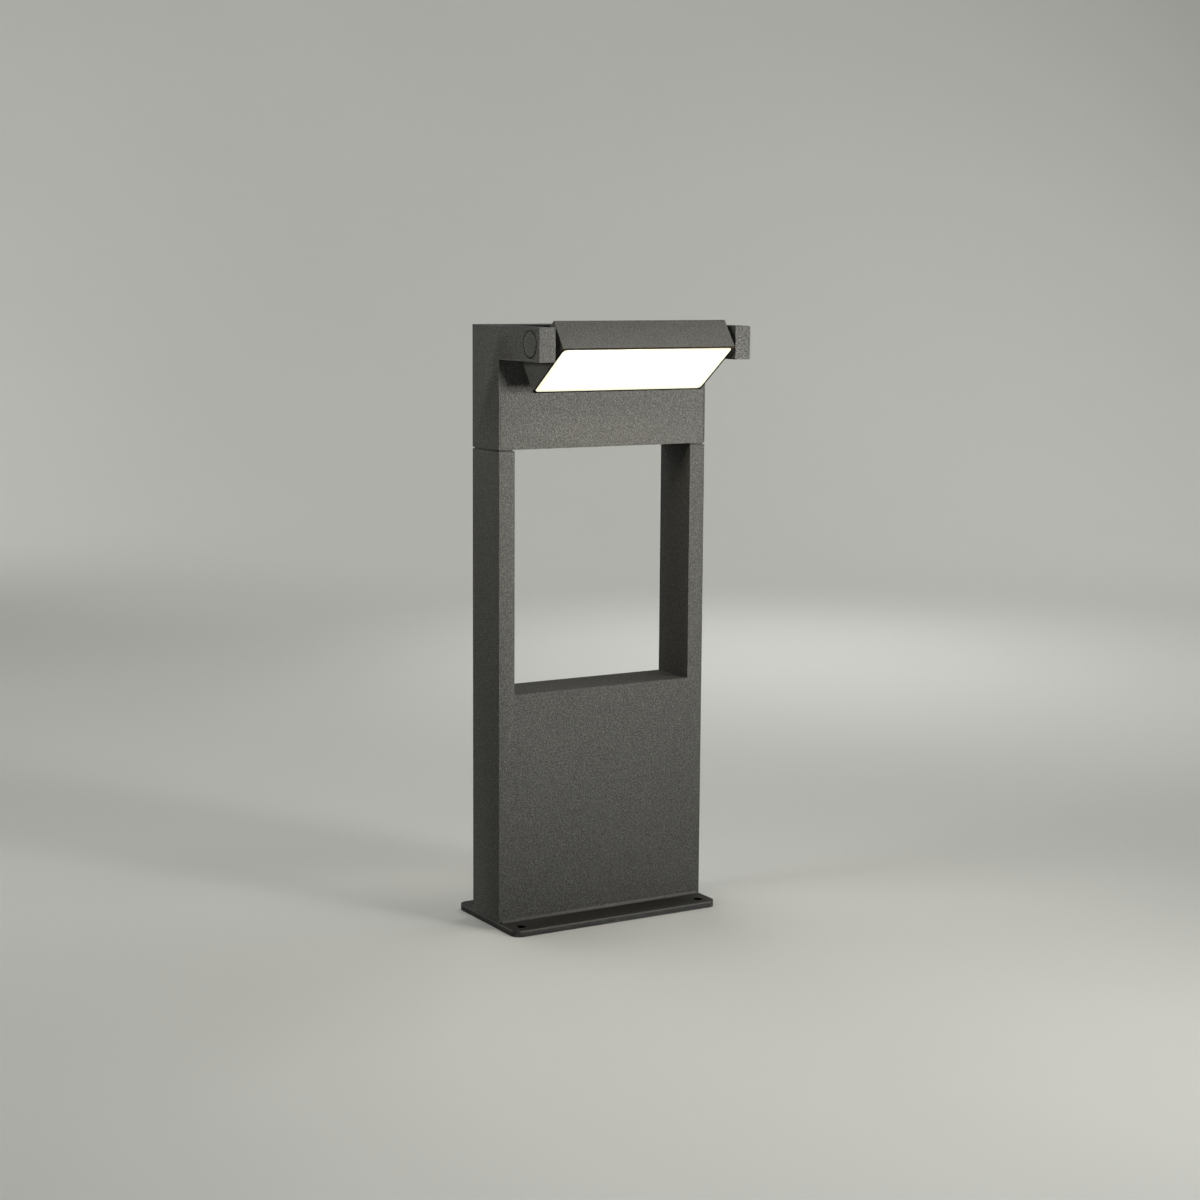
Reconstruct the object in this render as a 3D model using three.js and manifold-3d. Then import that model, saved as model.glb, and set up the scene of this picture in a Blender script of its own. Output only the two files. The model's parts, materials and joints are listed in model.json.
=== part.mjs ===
// Bollard light: a box post with an open window, a head with two ears, and a slim lamp that
// tilts on a cross axle between the ears. Millimetres, +Z up, front towards -Y.
import * as THREE from 'three';
import { mergeVertices } from 'three/addons/utils/BufferGeometryUtils.js';
import Module from 'manifold-3d';

// ---- driving dimensions (mm, degrees) ----
const GAP = 0.3;
const WIDTH = 198;
const DEPTH = 46.4;
const HEIGHT = 500;
const PLATE_DEPTH = 104;
const PLATE_T = 5.3;
const PLATE_R = 8;
const ANCHOR_X = 87;
const ANCHOR_Y = 40;
const ANCHOR_R = 3.5;
const PLATE_CABLE_X = 45;
const PLATE_CABLE_R = 9;
const SILL_Z = 197.6;
const LEG_W = 14.5;
const LEG_TOP_Z = 398.4;
const HEAD_Z = 399.6;
const EAR_T = 14.4;
const EAR_Y = -89.7;
const EAR_Z = 472.7;
const PIVOT_Y = -74.4;
const PIVOT_Z = 486.5;
const LAMP_HALF = 80.4;
const LAMP_FRONT = 14.85;
const LAMP_FACE = 14.85;
const LAMP_BACK = 11.9;
const LAMP_SWEEP_R = 49.8;
const LAMP_CORNER_R = 5;
const REST_TILT = -35.9;
const TILT_TRAVEL = 90;
const CAP_R = 10.75;
const RECESS_R = 11.1;
const CAP_FACE_R = 10.3;
const CIRCLE_SEGMENTS = 60;
const SWEEP_SEGMENTS = 14;
const AXLE_R = 5;
const AXLE_BORE_R = 3.25;
const CABLE_R = 1.6;

const HX = WIDTH / 2;
const YF = -DEPTH / 2;
const YB = DEPTH / 2;
const EAR_X = HX - EAR_T;
const LEG_X = HX - LEG_W;
const DEG = Math.PI / 180;

const wasm = await Module();
wasm.setup();

// ---- helpers ----
function solid(geometry) {
  const bare = geometry.clone();
  bare.deleteAttribute('normal');
  bare.deleteAttribute('uv');
  const g = mergeVertices(bare, 1e-4);
  const p = g.attributes.position.array;
  const idx = [];
  const src = g.index.array;
  let vol = 0;
  for (let i = 0; i < src.length; i += 3) {
    const [a, b, c] = [src[i], src[i + 1], src[i + 2]];
    if (a === b || b === c || a === c) continue;
    idx.push(a, b, c);
    const [ax, ay, az, bx, by, bz, cx, cy, cz] = [a, b, c].flatMap((k) => [p[3 * k], p[3 * k + 1], p[3 * k + 2]]);
    vol += ax * (by * cz - bz * cy) - ay * (bx * cz - bz * cx) + az * (bx * cy - by * cx);
  }
  if (vol < 0) for (let i = 0; i < idx.length; i += 3) [idx[i + 1], idx[i + 2]] = [idx[i + 2], idx[i + 1]];
  return new wasm.Manifold(new wasm.Mesh({
    numProp: 3,
    vertProperties: new Float32Array(p),
    triVerts: new Uint32Array(idx),
  }));
}
function box(x0, x1, y0, y1, z0, z1) {
  const g = new THREE.BoxGeometry(x1 - x0, y1 - y0, z1 - z0);
  g.translate((x0 + x1) / 2, (y0 + y1) / 2, (z0 + z1) / 2);
  return solid(g);
}
const TURN = {
  x: new THREE.Matrix4().makeBasis(new THREE.Vector3(0, 1, 0), new THREE.Vector3(1, 0, 0), new THREE.Vector3(0, 0, -1)),
  y: new THREE.Matrix4(),
  z: new THREE.Matrix4().makeBasis(new THREE.Vector3(1, 0, 0), new THREE.Vector3(0, 0, 1), new THREE.Vector3(0, -1, 0)),
};
// A cylinder from a to b along an axis; c and d are the other two coordinates in x, y, z order.
function rod(axis, r, a, b, c, d, seg = 24) {
  const g = new THREE.CylinderGeometry(r, r, Math.abs(b - a), seg);
  g.applyMatrix4(TURN[axis]);
  const m = (a + b) / 2;
  if (axis === 'x') g.translate(m, c, d);
  if (axis === 'y') g.translate(c, m, d);
  if (axis === 'z') g.translate(c, d, m);
  return solid(g);
}
// A turned piece: profile of [radius, position along the axis].
function turned(axis, profile, c, d, seg = 24) {
  const g = new THREE.LatheGeometry(profile.map(([r, h]) => new THREE.Vector2(r, h)), seg);
  g.applyMatrix4(TURN[axis]);
  if (axis === 'x') g.translate(0, c, d);
  if (axis === 'y') g.translate(c, 0, d);
  if (axis === 'z') g.translate(c, d, 0);
  return solid(g);
}
function ring(axis, r0, r1, a, b, c, d, seg = 24) {
  return turned(axis, [[r0, a], [r1, a], [r1, b], [r0, b], [r0, a]], c, d, seg);
}
// A flat outline pushed through a thickness. Plane xy goes along z, xz along y, yz along x.
function prism(plane, outline, a, b, holes = []) {
  const shape = new THREE.Shape(outline.map(([u, v]) => new THREE.Vector2(u, v)));
  for (const h of holes) shape.holes.push(new THREE.Path(h.map(([u, v]) => new THREE.Vector2(u, v))));
  const g = new THREE.ExtrudeGeometry(shape, { depth: b - a, bevelEnabled: false, curveSegments: 1 });
  if (plane === 'xy') g.translate(0, 0, a);
  if (plane === 'xz') {
    g.applyMatrix4(new THREE.Matrix4().makeBasis(new THREE.Vector3(1, 0, 0), new THREE.Vector3(0, 0, 1), new THREE.Vector3(0, -1, 0)));
    g.translate(0, b, 0);
  }
  if (plane === 'yz') {
    g.applyMatrix4(new THREE.Matrix4().makeBasis(new THREE.Vector3(0, 1, 0), new THREE.Vector3(0, 0, 1), new THREE.Vector3(1, 0, 0)));
    g.translate(a, 0, 0);
  }
  return solid(g);
}
function rect(x0, x1, y0, y1) {
  return [[x0, y0], [x1, y0], [x1, y1], [x0, y1]];
}
// Rectangle with its own radius at each corner: low-low, high-low, high-high, low-high.
function roundRect(x0, x1, y0, y1, radii, seg = 6) {
  const out = [];
  const corners = [[x0, y0, 180, 1, 1], [x1, y0, 270, -1, 1], [x1, y1, 0, -1, -1], [x0, y1, 90, 1, -1]];
  corners.forEach(([x, y, start, sx, sy], i) => {
    const r = radii[i];
    if (r === 0) { out.push([x, y]); return; }
    for (let k = 0; k <= seg; k++) {
      const t = (start + (90 * k) / seg) * DEG;
      out.push([x + sx * r + r * Math.cos(t), y + sy * r + r * Math.sin(t)]);
    }
  });
  return out;
}
function circle(cx, cy, r, seg = 24) {
  return Array.from({ length: seg }, (_, k) => [cx + r * Math.cos((2 * Math.PI * k) / seg), cy + r * Math.sin((2 * Math.PI * k) / seg)]);
}
function hexagon(acrossFlats, a, b, c, d, axis = 'x') {
  return rod(axis, acrossFlats / Math.sqrt(3), a, b, c, d, 6);
}
// A run of wire through corner points, each corner bent to its own radius.
class Run extends THREE.Curve {
  constructor(stations) { super(); this.stations = stations; }
  getUtoTmapping(u) { return u; }
  getPoint(t, target = new THREE.Vector3()) {
    const n = this.stations.length - 1;
    const s = Math.min(Math.max(t, 0), 1) * n;
    const i = Math.min(Math.floor(s), n - 1);
    return target.lerpVectors(this.stations[i], this.stations[i + 1], s - i);
  }
}
function wire(points, bend, r, sides = 10, steps = 4) {
  const p = points.map((q) => new THREE.Vector3(...q));
  const st = [p[0]];
  for (let i = 1; i < p.length - 1; i++) {
    const a = p[i - 1].clone().sub(p[i]).normalize();
    const b = p[i + 1].clone().sub(p[i]).normalize();
    const half = Math.acos(THREE.MathUtils.clamp(a.dot(b), -1, 1)) / 2;
    const run = (Array.isArray(bend) ? bend[i - 1] : bend) / Math.tan(half);
    const rr = Array.isArray(bend) ? bend[i - 1] : bend;
    const centre = p[i].clone().add(a.clone().add(b).normalize().multiplyScalar(rr / Math.sin(half)));
    const from = p[i].clone().add(a.clone().multiplyScalar(run)).sub(centre);
    const to = p[i].clone().add(b.clone().multiplyScalar(run)).sub(centre);
    const sweep = Math.PI - 2 * half;
    for (let k = 0; k <= steps; k++) {
      const t = k / steps;
      const v = from.clone().multiplyScalar(Math.sin((1 - t) * sweep)).add(to.clone().multiplyScalar(Math.sin(t * sweep))).divideScalar(Math.sin(sweep));
      st.push(centre.clone().add(v));
    }
  }
  st.push(p[p.length - 1]);
  const shape = new THREE.Shape(circle(0, 0, r, sides).map(([u, v]) => new THREE.Vector2(u, v)));
  return solid(new THREE.ExtrudeGeometry(shape, { steps: st.length - 1, extrudePath: new Run(st), bevelEnabled: false, curveSegments: 1 }));
}
// A funnel wall between two rectangles, given at the narrow and the wide end.
function frustum(a, b) {
  const [x0, x1, y0, y1, z0] = a;
  const [X0, X1, Y0, Y1, Z1] = b;
  const v = [x0, y0, z0, x1, y0, z0, x1, y1, z0, x0, y1, z0, X0, Y0, Z1, X1, Y0, Z1, X1, Y1, Z1, X0, Y1, Z1];
  const g = new THREE.BufferGeometry();
  g.setAttribute('position', new THREE.Float32BufferAttribute(v, 3));
  g.setIndex([0, 2, 1, 0, 3, 2, 4, 5, 6, 4, 6, 7, 0, 1, 5, 0, 5, 4, 1, 2, 6, 1, 6, 5, 2, 3, 7, 2, 7, 6, 3, 0, 4, 3, 4, 7]);
  return solid(g);
}
const add = (...m) => m.reduce((a, b) => a.add(b));
const cut = (a, ...m) => m.reduce((x, y) => x.subtract(y), a);

const group = new THREE.Group();
group.name = 'bollard_light';
const FINISH = {
  coat: [0x4b4a46, 0.15, 0.6], steel: [0xa9abad, 0.9, 0.35], rubber: [0x161616, 0, 0.8], opal: [0xfff4dc, 0, 0.4],
  nylon: [0xd9d6cc, 0, 0.5], white: [0xf2f2ee, 0, 0.5], board: [0xe9ebe6, 0.1, 0.5], grey: [0x8f9296, 0, 0.55],
  brass: [0xc2a04a, 0.9, 0.35], brown: [0x5a3218, 0, 0.5], blue: [0x2a55a5, 0, 0.5], green: [0x5f9a3a, 0, 0.5], cable: [0x232323, 0, 0.6],
};
function place(name, finish, manifold) {
  const m = manifold.getMesh();
  const g = new THREE.BufferGeometry();
  g.setAttribute('position', new THREE.Float32BufferAttribute(new Float32Array(m.vertProperties), 3));
  g.setIndex(new THREE.Uint32BufferAttribute(new Uint32Array(m.triVerts), 1));
  g.computeVertexNormals();
  const [color, metalness, roughness] = FINISH[finish];
  const mesh = new THREE.Mesh(g, new THREE.MeshStandardMaterial({ color, metalness, roughness }));
  mesh.name = name;
  group.add(mesh);
}

// ---- foot plate ----
const anchors = [-1, 1].flatMap((sx) => [-1, 1].map((sy) => circle(sx * ANCHOR_X, sy * ANCHOR_Y, ANCHOR_R, 20)));
const plateCables = [-1, 1].map((sx) => circle(sx * PLATE_CABLE_X, 0, PLATE_CABLE_R, 20));
place('base_plate', 'coat', prism('xy', roundRect(-HX, HX, -PLATE_DEPTH / 2, PLATE_DEPTH / 2, [PLATE_R, PLATE_R, PLATE_R, PLATE_R], 6), 0, PLATE_T, [...anchors, ...plateCables]));
for (const [side, sx] of [['left', -1], ['right', 1]]) {
  place(`base_grommet_${side}`, 'rubber', turned('z', [[5, 0.6], [8.7, 0.6], [8.7, 5.6], [12, 5.6], [12, 7.4], [11, 8], [5, 8], [5, 0.6]], sx * PLATE_CABLE_X, 0, 16));
}

// ---- post: hollow box with two hollow legs ----
const POST_Z = PLATE_T + GAP;
const SCREW_X = 90.5;
const SCREW_Y = 14;
let post = prism('xz', [[-HX, POST_Z], [HX, POST_Z], [HX, LEG_TOP_Z], [LEG_X, LEG_TOP_Z], [LEG_X, SILL_Z], [-LEG_X, SILL_Z], [-LEG_X, LEG_TOP_Z], [-HX, LEG_TOP_Z]], YF, YB);
post = cut(post, box(-95.7, 95.7, -19.7, 19.7, -1, 194.1));
for (const sx of [-1, 1]) {
  const [a, b] = sx < 0 ? [-95.7, -87.3] : [87.3, 95.7];
  post = cut(post, box(a, b, -19.7, 19.7, 190, 388));
  post = cut(post, rod('z', 4, 380, 400, sx * 91.4, 0, 16));
  for (const sy of [-1, 1]) post = cut(post, rod('z', 2.3, 380, 400, sx * SCREW_X, sy * SCREW_Y, 12));
}
place('post_frame', 'coat', post);
for (const [side, s] of [['front', -1], ['rear', 1]]) {
  const y0 = s * (YB + GAP);
  const leg = 2.3;
  const pts = [[y0, POST_Z], [y0, POST_Z + leg]];
  for (let k = 1; k < 4; k++) {
    const t = (90 * k / 4) * DEG;
    pts.push([y0 + s * leg * (1 - Math.cos(t)), POST_Z + leg * (1 - Math.sin(t))]);
  }
  pts.push([y0 + s * leg, POST_Z]);
  if (s < 0) pts.reverse();
  place(`weld_bead_${side}`, 'coat', prism('yz', pts, -96.5, 96.5));
}
for (const [side, sx] of [['left', -1], ['right', 1]]) {
  const [a, b] = sx < 0 ? [-98, -85.5] : [85.5, 98];
  place(`leg_gasket_${side}`, 'rubber', prism('xy', rect(a, b, -22.2, 22.2), 398.7, 399.3, [circle(sx * 90.7, 0, 4.9, 12), circle(sx * SCREW_X, -SCREW_Y, 2.4, 8), circle(sx * SCREW_X, SCREW_Y, 2.4, 8)]));
}

// ---- head housing ----
const COVER_BACK = -20.4;
const SHOULDER_Y = -19;
const DRIVER_Z = 455;
let head = add(box(-HX, HX, YF, YB, HEAD_Z, HEIGHT), box(-HX, -EAR_X, EAR_Y, YF + 1, EAR_Z, HEIGHT), box(EAR_X, HX, EAR_Y, YF + 1, EAR_Z, HEIGHT));
head = cut(head,
  box(-97.8, 97.8, YF - 0.5, SHOULDER_Y, HEAD_Z - 1, EAR_Z),
  box(-EAR_X, EAR_X, YF - 2, SHOULDER_Y, EAR_Z - 1, 498.8),
  box(-96, 96, -12, 20.2, 402.6, 496),
  box(-94.8, 94.8, SHOULDER_Y - 1, -11, 402.6, 469.9),
  box(-82, 82, SHOULDER_Y - 1, -11, 469, 496));
head = add(head, box(-60, 60, -18.7, -16.7, 402, 406));
for (const sx of [-1, 1]) {
  head = add(head, box(sx * 60 - 5, sx * 60 + 5, -20.1, -8, 480, 495.9), box(sx * 60 - 5, sx * 60 + 5, -18.9, -8, 490, 497));
}
for (const x of [-33, 85]) head = add(head, rod('y', 4.5, 16.3, 21, x, DRIVER_Z, 12));
for (const x of [-70, -58]) head = add(head, rod('y', 3.6, 18.3, 21, x, 421, 12));
head = add(head, rod('y', 4.5, 16, 21, -86, 450, 12));
for (const sx of [-1, 1]) {
  head = cut(head, rod('y', 1.8, -21, -7, sx * 60, 486, 10), rod('z', 5.2, 398, 404, sx * 90.2, 0, 16));
  for (const sy of [-1, 1]) head = cut(head, rod('z', 2.3, 398, 404, sx * SCREW_X, sy * SCREW_Y, 10));
  // ear: recess for the cap, web with the bush hole
  head = cut(head, rod('x', RECESS_R, sx * 88.3, sx * 101, PIVOT_Y, PIVOT_Z, CIRCLE_SEGMENTS), rod('x', 6.5, sx * 80, sx * 90, PIVOT_Y, PIVOT_Z, 24));
}
for (const x of [-33, 85]) head = cut(head, rod('y', 1.8, 15, 21.6, x, DRIVER_Z, 10));
for (const x of [-70, -58]) head = cut(head, rod('y', 1.8, 17, 21.6, x, 421, 10));
head = cut(head, rod('y', 2.3, 15, 21.6, -86, 450, 12));
// passage for the lamp cable in the right ear, hole for the stop pin in the left web
head = cut(head, rod('y', 2.2, PIVOT_Y, -11, 94, PIVOT_Z, 12), rod('x', 1.55, -90, -84, PIVOT_Y, PIVOT_Z + 9.2, 12));
place('head_housing', 'coat', head);

// ---- front cover of the head ----
const coverOutline = [[-97.5, HEAD_Z], [97.5, HEAD_Z], [97.5, 472.4], [84.3, 472.4], [84.3, 498.5], [-84.3, 498.5], [-84.3, 472.4], [-97.5, 472.4]];
let cover = prism('xz', coverOutline, YF, COVER_BACK);
cover = add(cover, box(-57, 57, COVER_BACK - 0.5, -14.2, 406.3, 408.3), box(-57, 57, -16.4, -14.2, 403.2, 407));
for (const sx of [-1, 1]) {
  cover = cut(cover, rod('y', 1.85, -24, -20, sx * 60, 486, 16), turned('y', [[0, -23.3], [3.3, -23.3], [1.75, -21.75], [0, -21.75]], sx * 60, 486, 16));
}
place('head_front_cover', 'coat', cover);
place('cover_gasket', 'rubber', prism('xz',
  [[-97.2, 400], [97.2, 400], [97.2, 472.1], [84, 472.1], [84, 498.2], [-84, 498.2], [-84, 472.1], [-97.2, 472.1]], -20.1, -19.3,
  [[[-95.2, 402.2], [95.2, 402.2], [95.2, 470.3], [82.3, 470.3], [82.3, 496.3], [-82.3, 496.3], [-82.3, 470.3], [-95.2, 470.3]]]));
for (const [side, sx] of [['left', -1], ['right', 1]]) {
  const s = turned('y', [[0, -23], [2.55, -23], [1.5, -21.9], [1.5, -11.5], [0, -11.5]], sx * 60, 486, 12);
  place(`cover_screw_${side}`, 'steel', cut(s, hexagon(2, -24, -22, sx * 60, 486, 'y')));
}
for (const [fb, sy] of [['front', -1], ['rear', 1]]) {
  for (const [side, sx] of [['left', -1], ['right', 1]]) {
    const s = turned('z', [[0, 389.5], [2, 389.5], [2, 402.9], [3.5, 402.9], [3.5, 406.5], [3.1, 406.9], [0, 406.9]], sx * SCREW_X, sy * SCREW_Y, 10);
    place(`head_screw_${fb}_${side}`, 'steel', cut(s, hexagon(3, 404.9, 408, sx * SCREW_X, sy * SCREW_Y, 'z')));
  }
}
for (const [side, sx] of [['left', -1], ['right', 1]]) {
  place(`leg_grommet_${side}`, 'rubber', turned('z', [[3.6, 399.8], [4.9, 399.8], [4.9, 402.9], [5.5, 402.9], [5.5, 404.6], [5, 405.2], [3.6, 405.2], [3.6, 399.8]], sx * 90.2, 0, 14));
}

// ---- terminal block and wiring in the head ----
const POLES = [['live', -76], ['neutral', -64], ['earth', -52]];
let block = box(-82, -46, 2, 18, 412, 430);
for (const [, x] of POLES) block = cut(block, box(x - 3, x + 3, 6, 13, 411, 431), rod('y', 1.7, 1, 7, x, 421, 10));
for (const x of [-70, -58]) block = cut(block, rod('y', 1.8, 1, 19, x, 421, 12), rod('y', 2.7, 1, 5, x, 421, 12));
place('terminal_block', 'grey', block);
for (const [pole, x] of POLES) {
  place(`terminal_clamp_${pole}`, 'brass', cut(box(x - 2.7, x + 2.7, 6.3, 12.7, 413.5, 428.5), rod('z', 1.9, 413, 429, x, 9.5, 12)));
}
for (const [side, x] of [['left', -70], ['right', -58]]) {
  place(`terminal_screw_${side}`, 'steel', turned('y', [[0, 2.9], [2.3, 2.9], [2.3, 4.7], [1.5, 4.7], [1.5, 21], [0, 21]], x, 421, 12));
}
let driver = add(box(-30, 82, -5, 16, DRIVER_Z - 15, DRIVER_Z + 15), box(-38, 90, 13, 16, DRIVER_Z - 8, DRIVER_Z + 8));
driver = cut(driver, rod('y', 1.8, 12, 17, -33, DRIVER_Z, 12), rod('y', 1.8, 12, 17, 85, DRIVER_Z, 12));
driver = cut(driver, rod('x', 1.5, -31, -26, 2, 446, 10), rod('x', 1.5, -31, -26, 2, 451, 10), rod('x', 1.9, 78, 83, 3, 462, 12));
driver = add(driver, box(-16, 68, -5.6, -4, DRIVER_Z - 10, DRIVER_Z + 10));
place('driver', 'white', driver);
for (const [side, x] of [['left', -33], ['right', 85]]) {
  place(`driver_screw_${side}`, 'steel', turned('y', [[0, 10.6], [2.5, 10.6], [2.75, 10.9], [2.75, 12.7], [1.5, 12.7], [1.5, 21], [0, 21]], x, DRIVER_Z, 12));
}
place('lead_live', 'brown', wire([[-76, 9.5, 424], [-76, 9.5, 440], [-76, 2, 451], [-27, 2, 451]], [4, 4], 1.1, 8, 3));
place('lead_neutral', 'blue', wire([[-64, 9.5, 424], [-64, 9.5, 437], [-64, 2, 446], [-27, 2, 446]], [4, 4], 1.1, 8, 3));
const lug = cut(add(rod('y', 4, 14.2, 15.7, -86, 450, 16), box(-87.5, -84.5, 14.2, 15.7, 441.5, 450)), rod('y', 2.3, 14, 16, -86, 450, 12));
place('earth_lead', 'green', add(lug, wire([[-52, 9.5, 424], [-52, 9.5, 432], [-52, 14.95, 437], [-86, 14.95, 437], [-86, 14.95, 444]], [2, 2, 3], 1.1, 8, 3)));
place('earth_screw', 'steel', turned('y', [[0, 11.2], [3.2, 11.2], [3.5, 11.6], [3.5, 13.9], [2, 13.9], [2, 21.2], [0, 21.2]], -86, 450, 12));
place('lamp_cable', 'cable', wire([[79.5, 3, 462], [94, 3, 462], [94, 3, PIVOT_Z], [94, PIVOT_Y, PIVOT_Z], [84.1, PIVOT_Y, PIVOT_Z]], [7, 7, 4], CABLE_R, 10, 4));

// ---- caps, bushes and stop pin in the ears ----
for (const [side, sx] of [['left', -1], ['right', 1]]) {
  let cap = turned('x', [[0, 97.2], [CAP_FACE_R, 97.2], [CAP_FACE_R, 99], [CAP_FACE_R - 0.5, 99.35], [7, 99.55], [0, 99.6]].map(([r, h]) => [r, sx * h]), PIVOT_Y, PIVOT_Z, CIRCLE_SEGMENTS);
  let skirt = ring('x', 9.4, CAP_R, sx * 94.4, sx * 97.6, PIVOT_Y, PIVOT_Z, CIRCLE_SEGMENTS);
  skirt = cut(skirt, box(Math.min(sx * 94, sx * 97.1), Math.max(sx * 94, sx * 97.1), PIVOT_Y + 3, PIVOT_Y + 14, PIVOT_Z - 4, PIVOT_Z + 4));
  cap = add(cap, skirt);
  place(`pivot_cap_${side}`, 'coat', cap);
  place(`bush_${side}`, 'nylon', turned('x', [[5.3, 83.3], [7.4, 83.3], [7.4, 84.3], [6.2, 84.3], [6.2, 88.4], [5.3, 88.4], [5.3, 83.3]].map(([r, h]) => [r, sx * h]), PIVOT_Y, PIVOT_Z, 18));
}
place('stop_pin', 'steel', rod('x', 1.25, -88, -81.7, PIVOT_Y, PIVOT_Z + 9.2, 12));

// ---- lamp, drawn facing straight down with the pivot at the origin, then tilted to its rest angle ----
const restPose = new THREE.Matrix4().makeTranslation(0, PIVOT_Y, PIVOT_Z).multiply(new THREE.Matrix4().makeRotationX(REST_TILT * DEG));
function lampPiece(name, finish, manifold) {
  place(name, finish, manifold.transform(Array.from(restPose.elements)));
}
const rearLow = Math.sqrt(LAMP_SWEEP_R ** 2 - LAMP_FACE ** 2);
const section = [[-LAMP_FRONT, LAMP_BACK], [-LAMP_FRONT, -LAMP_FACE], [rearLow, -LAMP_FACE]];
const t0 = Math.atan2(-LAMP_FACE, rearLow);
const t1 = Math.asin(LAMP_BACK / LAMP_SWEEP_R);
for (let k = 1; k <= SWEEP_SEGMENTS; k++) {
  const t = t0 + ((t1 - t0) * k) / SWEEP_SEGMENTS;
  section.push([LAMP_SWEEP_R * Math.cos(t), LAMP_SWEEP_R * Math.sin(t)]);
}
let lamp = prism('yz', section, -LAMP_HALF, LAMP_HALF);
lamp = lamp.intersect(prism('xy', roundRect(-LAMP_HALF, LAMP_HALF, -LAMP_FRONT - 1, LAMP_SWEEP_R, [0, 0, LAMP_CORNER_R, LAMP_CORNER_R], 8), -20, 20));
lamp = cut(lamp, prism('xy', roundRect(-79.3, 79.3, -13.2, 46.35, [3.6, 3.6, 3.9, 3.9], 8), -16, -10.95));
lamp = cut(lamp, box(-76.4, 76.4, -9.8, 42.8, -12, 8.9));
const LED_SCREWS = [[-43, -1], [43, -1], [-43, 33], [43, 33]];
for (const [x, y] of LED_SCREWS) lamp = add(lamp, rod('z', 3.6, 4.9, 9.5, x, y, 12));
for (const [x, y] of LED_SCREWS) lamp = cut(lamp, rod('z', 1.8, 4, 10.4, x, y, 10));
lamp = cut(lamp, rod('x', 5.3, -82, -75, 0, 0, 24), rod('x', 5.3, 75, 82, 0, 0, 24));
lampPiece('lamp_housing', 'coat', lamp);
lampPiece('diffuser', 'opal', prism('xy', roundRect(-79, 79, -12.9, 46.05, [3.3, 3.3, 3.6, 3.6], 8), -14.75, -12.35));
lampPiece('diffuser_gasket', 'rubber', prism('xy', roundRect(-78.8, 78.8, -12.7, 45.8, [3.1, 3.1, 3.4, 3.4], 4), -12.05, -11.25, [rect(-76.8, 76.8, -10.2, 43.2)]));
let tray = add(frustum([-49.2, 49.2, -6.2, 38.2, 2.3], [-73.2, 73.2, -9.3, 42.3, -11]), box(-76, 76, -9.45, 42.45, -12, -11));
tray = cut(tray, frustum([-48, 48, -5, 37, 3.3], [-72, 72, -8.3, 41.3, -11.05]), box(-72, 72, -8.3, 41.3, -13, -10.9));
lampPiece('reflector_tray', 'white', tray);
let board = box(-56, 66, -6, 38, 3, 4.6);
for (let i = 0; i < 8; i++) {
  for (const y of [8, 24]) {
    const x = -38.5 + i * 11;
    board = add(board, box(x - 1.6, x + 1.6, y - 1.6, y + 1.6, 2, 3.2));
  }
}
for (const [x, y] of LED_SCREWS) board = cut(board, rod('z', 1.8, 1, 6, x, y, 10));
lampPiece('led_board', 'board', board);
LED_SCREWS.forEach(([x, y], i) => {
  lampPiece(`led_screw_${i + 1}`, 'steel', turned('z', [[0, 1], [2.4, 1], [2.6, 1.3], [2.6, 2.7], [1.5, 2.7], [1.5, 9.9], [0, 9.9]], x, y, 10));
});
lampPiece('led_connector', 'nylon', cut(box(59.5, 65.5, -4, 4, -2.7, 2.7), rod('x', 1.95, 61, 67, 0, 0, 12)));
lampPiece('led_lead', 'cable', rod('x', CABLE_R, 61.5, 83.8, 0, 0, 10));

// ---- axles: threaded studs through the lamp ends and the ear webs ----
const PIN_ANGLE = 90;
const notch = [];
{
  const half = Math.asin(1.6 / 9.2) / DEG;
  const from = PIN_ANGLE - half;
  const to = PIN_ANGLE + TILT_TRAVEL + half;
  for (let k = 0; k <= 10; k++) {
    const t = (from + ((to - from) * k) / 10) * DEG;
    notch.push([12.5 * Math.cos(t), 12.5 * Math.sin(t)]);
  }
  for (let k = 10; k >= 0; k--) {
    const t = (from + ((to - from) * k) / 10) * DEG;
    notch.push([7.6 * Math.cos(t), 7.6 * Math.sin(t)]);
  }
}
for (const [side, sx] of [['left', -1], ['right', 1]]) {
  let axle = turned('x', [[0, 72.3], [4.5, 72.3], [AXLE_R, 72.8], [AXLE_R, 81.6], [10.5, 81.6], [10.5, 83], [AXLE_R, 83], [AXLE_R, 91.5], [4.5, 92], [0, 92]].map(([r, h]) => [r, sx * h]), 0, 0, 20);
  if (sx > 0) axle = cut(axle, rod('x', AXLE_BORE_R, 70, 95, 0, 0, 16));
  else axle = cut(axle, prism('yz', notch, -84, -81));
  lampPiece(`axle_${side}`, 'steel', axle);
  lampPiece(`axle_seal_${side}`, 'rubber', ring('x', 5.3, 9, sx * 80.7, sx * 81.3, 0, 0, 16));
  lampPiece(`lamp_nut_${side}`, 'steel', cut(hexagon(14, sx * 73, sx * 76.1, 0, 0), rod('x', 5.3, sx * 70, sx * 80, 0, 0, 16)));
  lampPiece(`friction_washer_${side}`, 'steel', ring('x', 5.3, 9.4, sx * 88.7, sx * 89.3, 0, 0, 16));
  lampPiece(`ear_nut_${side}`, 'steel', cut(hexagon(15, sx * 89.6, sx * 91.8, 0, 0), rod('x', 5.3, sx * 85, sx * 95, 0, 0, 16)));
}

export default group;
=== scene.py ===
import json
import math
import bpy
from mathutils import Matrix, Vector

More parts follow.
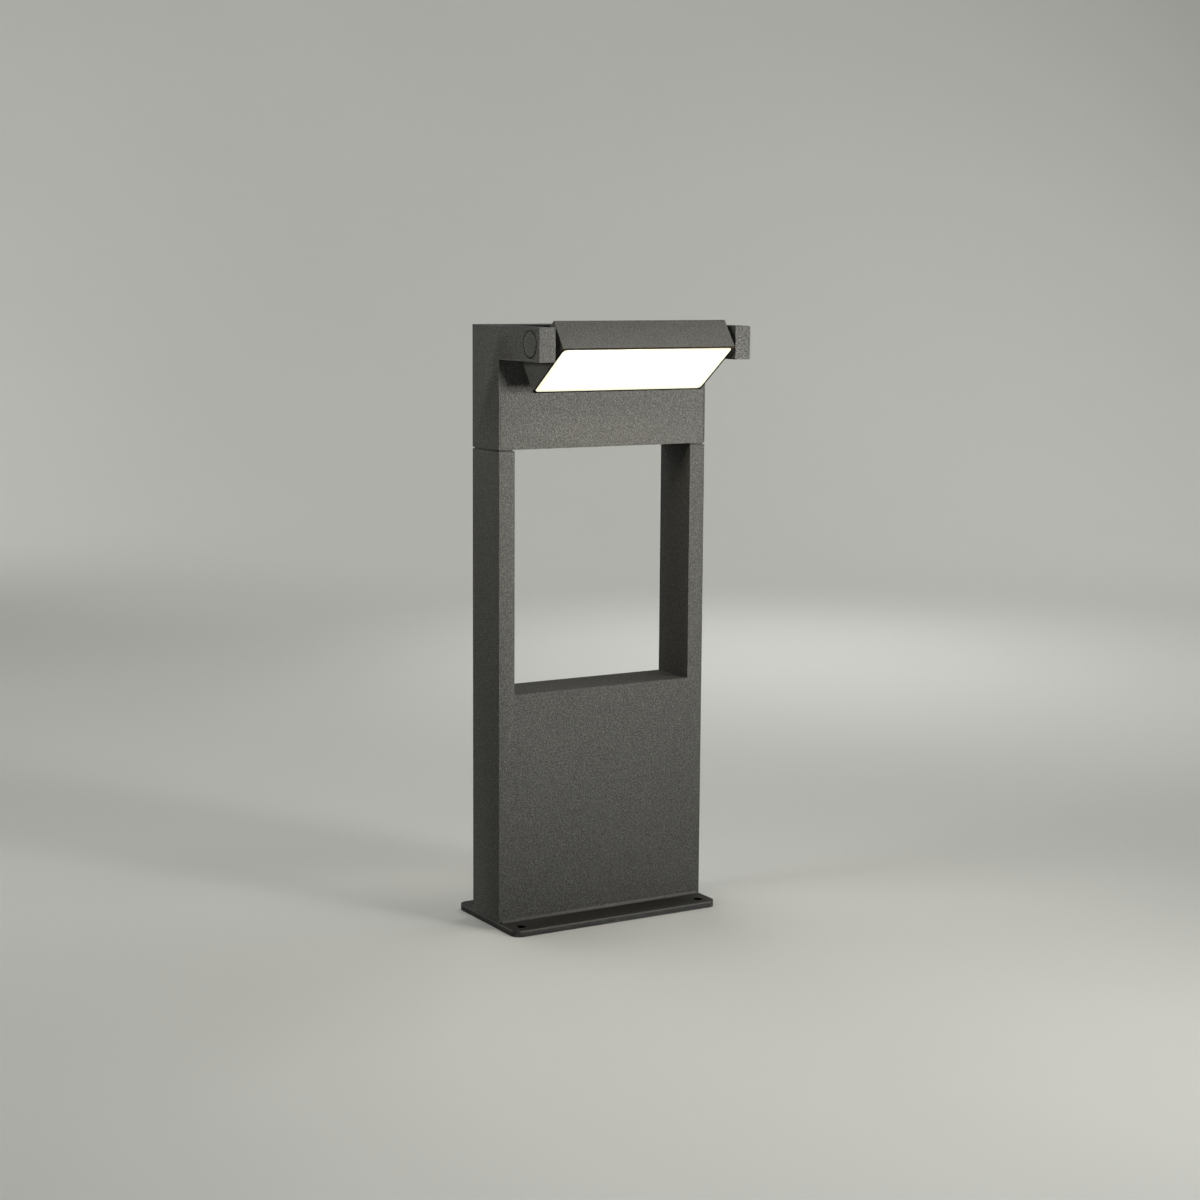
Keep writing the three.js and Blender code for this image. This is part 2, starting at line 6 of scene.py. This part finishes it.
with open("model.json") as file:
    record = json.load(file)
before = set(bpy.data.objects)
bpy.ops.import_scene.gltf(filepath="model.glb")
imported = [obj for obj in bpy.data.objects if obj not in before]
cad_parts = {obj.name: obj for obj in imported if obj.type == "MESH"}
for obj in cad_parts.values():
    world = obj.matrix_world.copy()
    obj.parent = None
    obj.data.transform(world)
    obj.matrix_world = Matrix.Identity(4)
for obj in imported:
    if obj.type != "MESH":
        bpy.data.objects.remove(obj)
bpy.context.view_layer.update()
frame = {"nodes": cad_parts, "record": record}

nodes = frame["nodes"]
scene = bpy.context.scene

# ------------------------------------------------------------------ camera
def make_camera():
    cam = bpy.data.objects.new("camera", bpy.data.cameras.new("camera"))
    scene.collection.objects.link(cam)
    yaw, pitch, roll = (math.radians(a) for a in (30.622, 8.185, 0.384))
    fwd = Vector((math.sin(yaw) * math.cos(pitch), math.cos(yaw) * math.cos(pitch), -math.sin(pitch)))
    right = Vector((math.cos(yaw), -math.sin(yaw), 0.0))
    up = right.cross(fwd)
    r = right * math.cos(roll) + up * math.sin(roll)
    u = -right * math.sin(roll) + up * math.cos(roll)
    m = Matrix.Identity(4)
    for i in range(3):
        m[i][0], m[i][1], m[i][2] = r[i], u[i], -fwd[i]
    m[0][3], m[1][3], m[2][3] = -0.9721, -1.6599, 0.5447
    cam.matrix_world = m
    cam.data.sensor_fit = "HORIZONTAL"
    cam.data.sensor_width = 36.0
    cam.data.lens = 68.86
    cam.data.clip_start, cam.data.clip_end = 0.05, 60.0
    scene.camera = cam


make_camera()


# ------------------------------------------------------------------ node helpers
class Mat:
    def __init__(self, name):
        self.m = bpy.data.materials.new(name)
        self.m.use_nodes = True
        self.t = self.m.node_tree
        self.b = self.t.nodes["Principled BSDF"]

    def node(self, kind, **props):
        n = self.t.nodes.new(kind)
        for k, v in props.items():
            setattr(n, k, v)
        return n

    def link(self, a, b):
        self.t.links.new(a, b)

    def coords(self):
        if not hasattr(self, "_c"):
            self._c = self.node("ShaderNodeTexCoord").outputs["Object"]
        return self._c

    def noise(self, scale, detail=2.0, rough=0.5, vec=None, kind="FBM"):
        n = self.node("ShaderNodeTexNoise")
        n.inputs["Scale"].default_value = scale
        n.inputs["Detail"].default_value = detail
        n.inputs["Roughness"].default_value = rough
        self.link(vec or self.coords(), n.inputs["Vector"])
        return n.outputs["Fac"]

    def ramp(self, fac, stops):
        n = self.node("ShaderNodeValToRGB")
        e = n.color_ramp.elements
        while len(e) < len(stops):
            e.new(0.5)
        for el, (p, c) in zip(e, stops):
            el.position = p
            el.color = (*c, 1.0) if len(c) == 3 else c
        self.link(fac, n.inputs["Fac"])
        return n.outputs["Color"]

    def math(self, op, a, b=None, clamp=False):
        n = self.node("ShaderNodeMath", operation=op, use_clamp=clamp)
        for i, v in enumerate((a, b)):
            if v is None:
                continue
            if isinstance(v, (int, float)):
                n.inputs[i].default_value = v
            else:
                self.link(v, n.inputs[i])
        return n.outputs[0]

    def mix(self, fac, a, b, blend="MIX"):
        n = self.node("ShaderNodeMix", data_type="RGBA", blend_type=blend)
        for sock, v in ((n.inputs[0], fac), (n.inputs[6], a), (n.inputs[7], b)):
            if isinstance(v, (int, float)):
                sock.default_value = v
            elif isinstance(v, (tuple, list)):
                sock.default_value = (*v, 1.0) if len(v) == 3 else v
            else:
                self.link(v, sock)
        return n.outputs[2]

    def bump(self, height, strength, distance, below=None):
        n = self.node("ShaderNodeBump")
        n.inputs["Strength"].default_value = strength
        n.inputs["Distance"].default_value = distance
        self.link(height, n.inputs["Height"])
        if below is not None:
            self.link(below, n.inputs["Normal"])
        return n.outputs["Normal"]


def remap(mat, fac, lo, hi):
    """fac in 0..1 to lo..hi."""
    return mat.math("ADD", mat.math("MULTIPLY", fac, hi - lo), lo)


PIVOT = Vector((0.0, -0.0744, 0.4865))
REST_TILT = math.radians(-35.9)
PANEL_HALF = (0.079, 0.029475)
PANEL_MID_Y = 0.016575
PANEL_CORNER = 0.0035
# strength of the painted highlight on the base plate's upper edge
EDGE_HIGHLIGHT = 0.38
GLOW = 10.0


# the lamp's own axes: undo the rest tilt about the pivot
def lamp_axes(k):
    turn = Matrix.Rotation(-REST_TILT, 3, "X")
    mp = k.node("ShaderNodeMapping", vector_type="POINT")
    k.link(k.coords(), mp.inputs["Vector"])
    mp.inputs["Rotation"].default_value = (-REST_TILT, 0.0, 0.0)
    mp.inputs["Location"].default_value = -(turn @ PIVOT)
    sep = k.node("ShaderNodeSeparateXYZ")
    k.link(mp.outputs["Vector"], sep.inputs["Vector"])
    return sep.outputs["X"], sep.outputs["Y"], sep.outputs["Z"]


# Fine textured anthracite powder coat: sandy bump with small light and dark grains.
# Painted shade: the narrow groove around each pivot cap and the lamp's rim round the panel are coloured near
# black.
def powder_coat(name="powder_coat", base=(0.0345, 0.0341, 0.0303), grain=1.0):
    k = Mat(name)
    # turned axes, so that every flat face cuts the noise grid aslant and shows the same grain
    turned = k.node("ShaderNodeMapping", vector_type="POINT")
    k.link(k.coords(), turned.inputs["Vector"])
    turned.inputs["Rotation"].default_value = (0.61, 0.37, 0.83)
    turned = turned.outputs["Vector"]
    coarse = k.noise(1000.0, 1.0, 0.5, turned)
    small = k.noise(1830.0, 1.0, 0.5, turned)
    sand = k.math("ADD", k.math("MULTIPLY", coarse, 0.58), k.math("MULTIPLY", small, 0.42))
    fine = k.noise(2900.0, 1.0, 0.5, turned)
    cloud = k.noise(14.0, 2.0, 0.5)
    specks = k.ramp(sand, [(p, tuple(c * f ** grain for c in base)) for p, f in ((0.26, 0.28), (0.42, 0.62), (0.5, 1.0), (0.58, 1.55), (0.74, 2.8))])
    tone = k.ramp(cloud, [(0.3, (0.98, 0.98, 0.975)), (0.7, (1.02, 1.015, 1.01))])
    colour = k.mix(1.0, specks, tone, "MULTIPLY")
    sep = k.node("ShaderNodeSeparateXYZ")
    k.link(k.coords(), sep.inputs["Vector"])
    dy, dz = k.math("SUBTRACT", sep.outputs["Y"], PIVOT.y), k.math("SUBTRACT", sep.outputs["Z"], PIVOT.z)
    r = k.math("SQRT", k.math("ADD", k.math("MULTIPLY", dy, dy), k.math("MULTIPLY", dz, dz)))
    groove = k.math("MULTIPLY", k.math("GREATER_THAN", r, 0.01026), k.math("LESS_THAN", r, 0.01116))
    depth = k.math("ABSOLUTE", sep.outputs["X"])
    groove = k.math("MULTIPLY", groove, k.math("MULTIPLY", k.math("GREATER_THAN", depth, 0.0945), k.math("LESS_THAN", depth, 0.0989)))
    lx, ly, lz = lamp_axes(k)
    rim = k.math("MULTIPLY", k.math("LESS_THAN", lz, -0.01435), k.math("GREATER_THAN", lz, -0.0152))
    rim = k.math("MULTIPLY", rim, k.math("MULTIPLY", k.math("LESS_THAN", depth, 0.0806), k.math("LESS_THAN", k.math("ABSOLUTE", k.math("SUBTRACT", ly, PANEL_MID_Y)), 0.0315)))
    # painted shade on the walls of the four anchor holes
    hx, hy = k.math("SUBTRACT", depth, 0.087), k.math("SUBTRACT", k.math("ABSOLUTE", sep.outputs["Y"]), 0.04)
    hr = k.math("SQRT", k.math("ADD", k.math("MULTIPLY", hx, hx), k.math("MULTIPLY", hy, hy)))
    hole = k.math("MULTIPLY", k.math("LESS_THAN", hr, 0.0037), k.math("LESS_THAN", sep.outputs["Z"], 0.0056))
    # painted shade mask: pivot-cap grooves, lamp rim and anchor holes
    dark = k.math("MAXIMUM", k.math("MAXIMUM", groove, rim), hole)
    # painted highlight: a thin light line along the base plate's upper edge
    px, py, pz = (k.math("ABSOLUTE", sep.outputs[a]) for a in "XYZ")
    edge = k.math("MAXIMUM", k.math("GREATER_THAN", py, 0.0515), k.math("GREATER_THAN", px, 0.0985))
    edge = k.math("MULTIPLY", edge, k.math("MULTIPLY", k.math("GREATER_THAN", pz, 0.0042), k.math("LESS_THAN", pz, 0.0055)))
    colour = k.mix(k.math("MULTIPLY", edge, EDGE_HIGHLIGHT), colour, (0.13, 0.128, 0.118))
    # painted shade: the plate's foot is coloured darker where it meets the ground
    foot = k.math("MULTIPLY", k.math("SUBTRACT", 0.0032, sep.outputs["Z"]), 650.0, clamp=True)
    foot = k.math("MULTIPLY", foot, k.math("MAXIMUM", k.math("GREATER_THAN", py, 0.0505), k.math("GREATER_THAN", px, 0.0975)))
    colour = k.mix(k.math("MULTIPLY", foot, 0.8), colour, (0.004, 0.004, 0.0035))
    # warm bleed of the lamp light on the front lip just over the panel
    lip = k.math("MULTIPLY", k.math("LESS_THAN", ly, -0.0129), k.math("MULTIPLY", k.math("LESS_THAN", depth, 0.0806), k.math("GREATER_THAN", ly, -0.0147)))
    near = k.math("MULTIPLY", k.math("SUBTRACT", -0.0105, lz), 230.0, clamp=True)
    near = k.math("MULTIPLY", k.math("MULTIPLY", near, lip), k.math("GREATER_THAN", lz, -0.0153))
    colour = k.mix(k.math("MULTIPLY", near, 0.55), colour, (0.058, 0.044, 0.022))
    # painted lamp light: on the front lip the painted shade turns warm brown instead of near black
    shade_and_lamp_glow = k.mix(lip, (0.002, 0.002, 0.002), (0.05, 0.036, 0.016))
    # the painted shade is near black and metallic, so it reflects almost nothing
    k.link(k.mix(dark, colour, shade_and_lamp_glow), k.b.inputs["Base Color"])
    k.link(dark, k.b.inputs["Metallic"])
    k.link(k.math("MAXIMUM", remap(k, fine, 0.62, 0.84), dark), k.b.inputs["Roughness"])
    k.b.inputs["Specular IOR Level"].default_value = 0.22
    h = k.math("ADD", k.math("MULTIPLY", sand, 0.8), k.math("MULTIPLY", fine, 0.2))
    k.link(k.bump(h, grain, 0.0013), k.b.inputs["Normal"])
    return k.m


def plain(name, base, rough, metal=0.0, scale=300.0, vary=0.12, bump=0.1, depth=0.0001, spec=0.5):
    k = Mat(name)
    n = k.noise(scale, 2.0, 0.5)
    lo, hi = (tuple(max(0.0, min(1.0, c * (1 + s * vary))) for c in base) for s in (-1, 1))
    k.link(k.ramp(n, [(0.3, lo), (0.7, hi)]), k.b.inputs["Base Color"])
    k.link(remap(k, n, rough - 0.06, rough + 0.06), k.b.inputs["Roughness"])
    k.b.inputs["Metallic"].default_value = metal
    k.b.inputs["Specular IOR Level"].default_value = spec
    k.link(k.bump(n, bump, depth), k.b.inputs["Normal"])
    return k.m


MATS = {
    "powder_coat": powder_coat(),
    # painted shade: a darker copy of the powder coat for the base plate, whose top gets little light
    "powder_coat_plate_shaded": powder_coat("powder_coat_plate_shaded", (0.0225, 0.0221, 0.0196), 0.8),
    # painted highlight: a lighter copy of the powder coat on the weld beads, standing in for the light line along
    # the joint
    "powder_coat_weld_highlight": powder_coat("powder_coat_weld_highlight", (0.06, 0.059, 0.054), 0.5),
    "powder_coat_lamp": powder_coat("powder_coat_lamp", (0.0315, 0.0308, 0.0268), 0.65),
    "steel": plain("steel", (0.55, 0.56, 0.57), 0.32, metal=1.0, scale=700),
    "rubber": plain("rubber", (0.012, 0.012, 0.012), 0.75, scale=900, vary=0.3),
    "nylon": plain("nylon", (0.7, 0.68, 0.62), 0.45, scale=500, vary=0.05),
    "white_plastic": plain("white_plastic", (0.8, 0.8, 0.78), 0.4, scale=500, vary=0.04),
    "led_board": plain("led_board", (0.78, 0.8, 0.77), 0.35, scale=800, vary=0.05),
    "terminal_plastic": plain("terminal_plastic", (0.23, 0.25, 0.27), 0.5, scale=600, vary=0.08),
    "brass": plain("brass", (0.62, 0.42, 0.12), 0.3, metal=1.0, scale=600),
    "wire_brown": plain("wire_brown", (0.12, 0.045, 0.018), 0.45, scale=500),
    "wire_blue": plain("wire_blue", (0.02, 0.06, 0.35), 0.45, scale=500),
    "wire_green": plain("wire_green", (0.12, 0.36, 0.05), 0.45, scale=500),
    "cable_black": plain("cable_black", (0.02, 0.02, 0.02), 0.5, scale=500),
}


# Opal panel lit from behind: white in the middle, cream band and a thin yellow line along the rim.


def opal():
    k = Mat("opal_diffuser")
    k.b.inputs["Roughness"].default_value = 0.35
    n = k.noise(400.0, 1.0)
    k.link(k.ramp(n, [(0.0, (0.05, 0.049, 0.042)), (1.0, (0.056, 0.054, 0.046))]), k.b.inputs["Base Color"])
    x, y, z = lamp_axes(k)
    y = k.math("SUBTRACT", y, PANEL_MID_Y)
    qx = k.math("SUBTRACT", k.math("ABSOLUTE", x), PANEL_HALF[0] - PANEL_CORNER)
    qy = k.math("SUBTRACT", k.math("ABSOLUTE", y), PANEL_HALF[1] - PANEL_CORNER)
    ox, oy = k.math("MAXIMUM", qx, 0.0), k.math("MAXIMUM", qy, 0.0)
    out = k.math("SQRT", k.math("ADD", k.math("MULTIPLY", ox, ox), k.math("MULTIPLY", oy, oy)))
    dist = k.math("SUBTRACT", k.math("ADD", out, k.math("MINIMUM", k.math("MAXIMUM", qx, qy), 0.0)), PANEL_CORNER)
    inside = k.math("MULTIPLY", dist, -100.0, clamp=True)  # 0 at the rim, 1 from 10 mm inwards
    tint = k.ramp(inside, [(0.0, (0.9, 0.86, 0.7)), (0.05, (1.0, 0.98, 0.78)), (0.13, (1.0, 0.98, 0.74)), (0.165, (0.84, 0.82, 0.5)), (0.2, (0.84, 0.82, 0.5)),
                           (0.235, (1.0, 0.98, 0.8)), (0.3, (1.0, 0.97, 0.86)), (0.42, (1.0, 0.82, 0.58)), (1.0, (1.0, 0.82, 0.58))])
    power = k.ramp(inside, [(p, (v / GLOW,) * 3) for p, v in ((0.0, 0.8), (0.06, 0.95), (0.24, 0.95), (0.32, 1.2), (0.42, 2.0), (0.6, GLOW), (1.0, GLOW))])
    k.link(tint, k.b.inputs["Emission Color"])
    k.link(k.math("MULTIPLY", power, GLOW), k.b.inputs["Emission Strength"])
    return k.m


MATS["opal_diffuser"] = opal()


# ------------------------------------------------------------------ CAD nodes
SLOT = {s["node"]: s["material_slot"] for s in frame["record"]["subparts"]}


def soften(ob, width, segments=2, angle=30):
    w = ob.modifiers.new("weld", "WELD")
    w.merge_threshold = 0.00002
    d = ob.modifiers.new("planes", "DECIMATE")
    d.decimate_type = "DISSOLVE"
    d.angle_limit = math.radians(0.4)
    if width:
        b = ob.modifiers.new("edges", "BEVEL")
        b.width = width
        b.segments = segments
        b.limit_method = "ANGLE"
        b.angle_limit = math.radians(angle)
        b.harden_normals = True
        b.miter_outer = "MITER_ARC"
        b.use_clamp_overlap = True


def smooth_faces(ob):
    ob.data.polygons.foreach_set("use_smooth", [True] * len(ob.data.polygons))


BEVEL = {
    "post_frame": 0.0006, "head_housing": 0.0005, "head_front_cover": 0.0004, "base_plate": 0.0009,
    "lamp_housing": 0.0004, "pivot_cap_left": 0.00015, "pivot_cap_right": 0.00015,
}
COAT = {"lamp_housing": "powder_coat_lamp", "base_plate": "powder_coat_plate_shaded", "weld_bead_front": "powder_coat_weld_highlight", "weld_bead_rear": "powder_coat_weld_highlight"}
for name, ob in nodes.items():
    ob.data.materials.clear()
    ob.data.materials.append(MATS[COAT.get(name, SLOT[name])])
    smooth_faces(ob)
    soften(ob, BEVEL.get(name, 0.0001), 3 if name in BEVEL else 1)


# ------------------------------------------------------------------ stage and light
def make_stage():
    import bmesh
    bm = bmesh.new()
    R, back, front, half = 1.6, 2.6, -4.0, 6.0
    prof = [(front, 0.0)]
    for i in range(25):
        a = math.radians(90 * i / 24)
        prof.append((back + R * math.sin(a), R * (1 - math.cos(a))))
    prof.append((back + R, 6.0))
    yaw = math.radians(30.622)
    rows = []
    for y, z in prof:
        row = []
        for x in (-half, half):
            p = Vector((x * math.cos(yaw) + y * math.sin(yaw), -x * math.sin(yaw) + y * math.cos(yaw), z))
            row.append(bm.verts.new(p))
        rows.append(row)
    for a, b in zip(rows, rows[1:]):
        bm.faces.new((a[0], a[1], b[1], b[0]))
    me = bpy.data.meshes.new("sweep")
    bm.to_mesh(me)
    bm.free()
    me.polygons.foreach_set("use_smooth", [True] * len(me.polygons))
    ob = bpy.data.objects.new("sweep", me)
    scene.collection.objects.link(ob)
    k = Mat("paper")
    n = k.noise(1.5, 2.0)
    k.link(k.ramp(n, [(0.3, (0.555, 0.56, 0.528)), (0.7, (0.565, 0.57, 0.538))]), k.b.inputs["Base Color"])
    k.b.inputs["Roughness"].default_value = 0.85
    k.b.inputs["Specular IOR Level"].default_value = 0.2
    # one-sided paper: from under the floor the object's foot can be seen
    clear = k.node("ShaderNodeBsdfTransparent")
    sides = k.node("ShaderNodeMixShader")
    shadow = k.node("ShaderNodeLightPath").outputs["Is Shadow Ray"]
    k.link(k.math("MAXIMUM", k.node("ShaderNodeNewGeometry").outputs["Backfacing"], shadow), sides.inputs[0])
    k.link(k.b.outputs[0], sides.inputs[1])
    k.link(clear.outputs[0], sides.inputs[2])
    k.link(sides.outputs[0], k.t.nodes["Material Output"].inputs["Surface"])
    me.materials.append(k.m)


make_stage()


def area(name, loc, target, size, power, color=(1, 1, 1), size_y=None):
    d = bpy.data.lights.new(name, "AREA")
    d.shape = "RECTANGLE"
    d.size, d.size_y = size, size_y or size
    d.energy = power
    d.color = color
    o = bpy.data.objects.new(name, d)
    o.location = loc
    o.rotation_mode = "QUATERNION"
    o.rotation_quaternion = (Vector(target) - Vector(loc)).to_track_quat("-Z", "Y")
    scene.collection.objects.link(o)
    return o


# name, place, aim, side, watts, spread in degrees
for n_, loc_, aim_, size_, watt_, spread_ in (
    ("key", (1.0, -1.73, 0.52), (0, 0, 0.82), 0.25, 7.6, 46),
    ("front_low", (0.75, -1.6, 0.16), (0, 0, 0.42), 0.3, 4.0, 46),
    ("left", (-2.0, 0.1, 0.85), (0, 0, 0.72), 0.8, 5.5, 90),
    ("left_soft", (-1.5, -0.06, 0.8), (-0.1, -0.04, 0.62), 0.4, 0.42, 30),
    ("left_rear", (-1.5, 1.5, 1.0), (0, 0, 0.3), 1.0, 5.2, 180),
    ("top_right", (1.7, 0.0, 2.5), (0.5, 0.0, 0.0), 1.3, 18.5, 180),
    ("front_floor", (0.7, -1.2, 1.7), (0.0, -0.72, 0.0), 0.8, 1.65, 46),
    ("rear_top", (-0.2, 1.5, 2.4), (-0.1, -0.5, 0.0), 1.6, 8.0, 100),
    ("rear_floor", (0.1, 2.6, 2.2), (0.2, 2.2, 0.0), 1.0, 1.3, 80),
    ("right_floor", (0.9, 1.9, 1.5), (0.9, 0.75, 0.0), 0.5, 1.3, 50),
    ("backdrop", (1.0, 1.2, 3.2), (2.2, 3.9, 0.5), 2.0, 22.0, 120),
    ("backdrop_right", (2.8, 0.4, 3.0), (3.2, 2.8, 0.3), 2.0, 10.071, 150),
    ("right_rear", (3.2, 1.8, 2.2), (1.8, 1.5, 0.0), 1.2, 8.314, 120),
    ("room_front", (-1.8, -3.2, 3.0), (-1.8, -3.2, 0.0), 1.5, 26.0, 100),
    ("room_left", (-4.2, 0.8, 3.0), (-4.2, 0.8, 0.0), 1.5, 22.0, 100),
    ("room_right", (4.0, -2.2, 3.0), (4.0, -2.2, 0.0), 1.5, 22.0, 100),
    ("below", (0.06, 0.0, -2.0), (0.06, 0.001, 0.0), 0.24, 1.0, 12),
    ("backdrop_left", (-0.8, 3.0, 1.2), (0.2, 4.2, 0.6), 1.0, 18.5, 180),
):
    l_ = area(n_, loc_, aim_, size_, watt_, (1.0, 0.998, 0.985))
    l_.data.spread = math.radians(spread_)
w = bpy.data.worlds.new("studio")
scene.world = w
w.use_nodes = True
wt = w.node_tree
wt.nodes["Background"].inputs["Color"].default_value = (0.75, 0.76, 0.73, 1)
wt.nodes["Background"].inputs["Strength"].default_value = 0.01
# pale room behind the paper, seen directly but casting no extra light
room = wt.nodes.new("ShaderNodeBackground")
room.inputs["Color"].default_value = (0.36, 0.365, 0.345, 1)
pick = wt.nodes.new("ShaderNodeMixShader")
wt.links.new(wt.nodes.new("ShaderNodeLightPath").outputs["Is Camera Ray"], pick.inputs[0])
wt.links.new(wt.nodes["Background"].outputs[0], pick.inputs[1])
wt.links.new(room.outputs[0], pick.inputs[2])
wt.links.new(pick.outputs[0], wt.nodes["World Output"].inputs["Surface"])

scene.view_settings.view_transform = "Standard"
scene.view_settings.look = "None"
